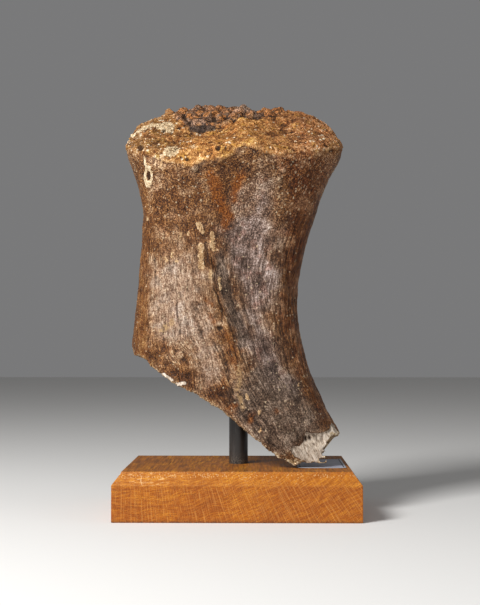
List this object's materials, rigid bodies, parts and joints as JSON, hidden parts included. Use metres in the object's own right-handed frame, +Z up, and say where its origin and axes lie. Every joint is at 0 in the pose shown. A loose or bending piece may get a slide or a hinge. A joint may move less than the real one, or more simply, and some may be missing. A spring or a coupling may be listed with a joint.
{
  "type": "fossil woolly mammoth pelvis fragment",
  "caption": "Waisted fossil mammoth pelvis fragment with a knobbed growth surface on top and a slanting break below, on a black steel post in a chamfered oak plinth with a blank label.",
  "frame": {"origin": "centre of the plinth's underside", "axes": "+Z up, +X to the viewer's right, the bone's front and the plinth's end-grain front towards -Y"},
  "size_m": [0.2, 0.1546, 0.3568],
  "materials": {
    "fossil_bone": "brown mineralised bone, semi-gloss from a consolidant, ochre and granular on the crown",
    "black_steel": "satin black",
    "oak": "clear oiled, end grain to the front",
    "blank_card": "smooth, bare"
  },
  "bodies": {
    "root": {"bone": "fossil_bone", "post": "black_steel", "plinth": "oak", "label": "blank_card"}
  },
  "joints": []
}
